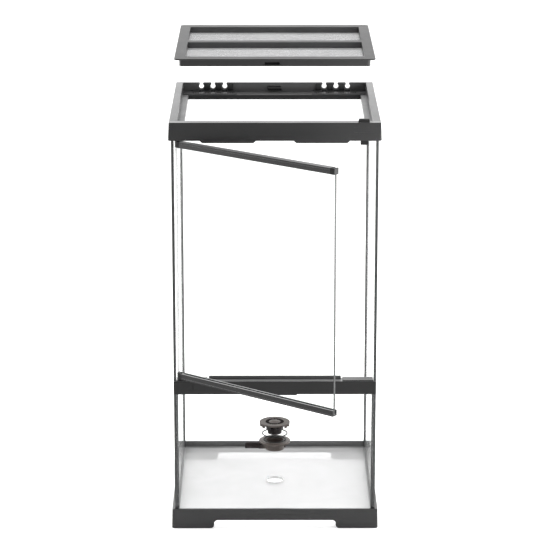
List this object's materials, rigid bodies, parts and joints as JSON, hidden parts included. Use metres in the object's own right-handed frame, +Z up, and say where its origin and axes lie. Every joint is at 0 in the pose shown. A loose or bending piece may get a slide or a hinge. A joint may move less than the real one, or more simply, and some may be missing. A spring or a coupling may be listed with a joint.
{
  "type": "reptile terrarium",
  "caption": "Tall square glass terrarium with a side-hinged front door, lift-off screen lid, closable cable inlets and a floor drain.",
  "frame": {"origin": "centre of the footprint, on the surface the terrarium stands on", "axes": "+Z up, -Y towards the door, +X to the right of a person facing the door"},
  "size_m": [0.3096, 0.4797, 0.713],
  "materials": {
    "frame_plastic": "fine-grained satin",
    "black_plastic": "satin",
    "clear_glass": "clear float glass",
    "silicone": "smooth tooled grey sealant",
    "screen_wire": "fine woven wire",
    "spring_steel": "drawn wire",
    "drain_plastic": "satin",
    "seal_rubber": "matt"
  },
  "bodies": {
    "tank": {"base_frame": "frame_plastic", "floor_glass": "clear_glass", "left_glass": "clear_glass", "right_glass": "clear_glass", "rear_glass": "clear_glass", "front_lower_glass": "clear_glass", "silicone_seams": "silicone", "sill_bar": "frame_plastic", "top_frame": "frame_plastic", "lid_latch": "frame_plastic", "hinge_bushings": "black_plastic"},
    "door": {"door_glass": "clear_glass", "door_top_rail": "frame_plastic", "door_bottom_rail": "frame_plastic", "door_hinge_upper": "black_plastic", "door_hinge_lower": "black_plastic", "door_strike": "black_plastic"},
    "lid": {"lid_frame": "frame_plastic", "lid_mesh_front": "screen_wire", "lid_mesh_rear": "screen_wire", "mesh_retainers": "frame_plastic"},
    "lock_button": {"lock_knob": "black_plastic", "lock_plunger": "black_plastic", "lock_spring": "spring_steel"},
    "gate_left": {"cable_gate_left": "frame_plastic"},
    "gate_right": {"cable_gate_right": "frame_plastic"},
    "outlet": {"drain_outlet": "drain_plastic", "drain_flange_ring": "seal_rubber"},
    "o_ring": {"drain_o_ring": "seal_rubber"},
    "strainer": {"drain_strainer": "drain_plastic"}
  },
  "joints": [
    {"name": "door_swing", "type": "hinge", "parent": "tank", "child": "door", "pos_m": [-0.1395, -0.1479, 0.41], "axis": [0, 0, -1], "range_deg": [-37.7, 70]},
    {"name": "lid_lift", "type": "slide", "parent": "tank", "child": "lid", "axis": [0, 0, 1], "range_m": [-0.089, 0]},
    {"name": "lock_press", "type": "slide", "parent": "tank", "child": "lock_button", "axis": [0, 0, -1], "range_m": [0, 0.003], "stiffness_N_per_m": 500, "springref_m": -0.003, "deforming": ["lock_spring"]},
    {"name": "gate_left_slide", "type": "slide", "parent": "tank", "child": "gate_left", "axis": [-1, 0, 0], "range_m": [0, 0.0091]},
    {"name": "gate_right_slide", "type": "slide", "parent": "tank", "child": "gate_right", "axis": [1, 0, 0], "range_m": [0, 0.0091]},
    {"name": "outlet_lift", "type": "slide", "parent": "tank", "child": "outlet", "axis": [0, 0, 1], "range_m": [-0.0508, 0]},
    {"name": "strainer_lift", "type": "slide", "parent": "outlet", "child": "strainer", "axis": [0, 0, 1], "range_m": [-0.0197, 0]},
    {"name": "o_ring_follow", "type": "slide", "parent": "outlet", "child": "o_ring", "axis": [0, 0, 1], "range_m": [-0.0043, 0]}
  ],
  "couplings": [
    {"joint": "o_ring_follow", "follows": "strainer_lift", "ratio": 0.2132}
  ]
}
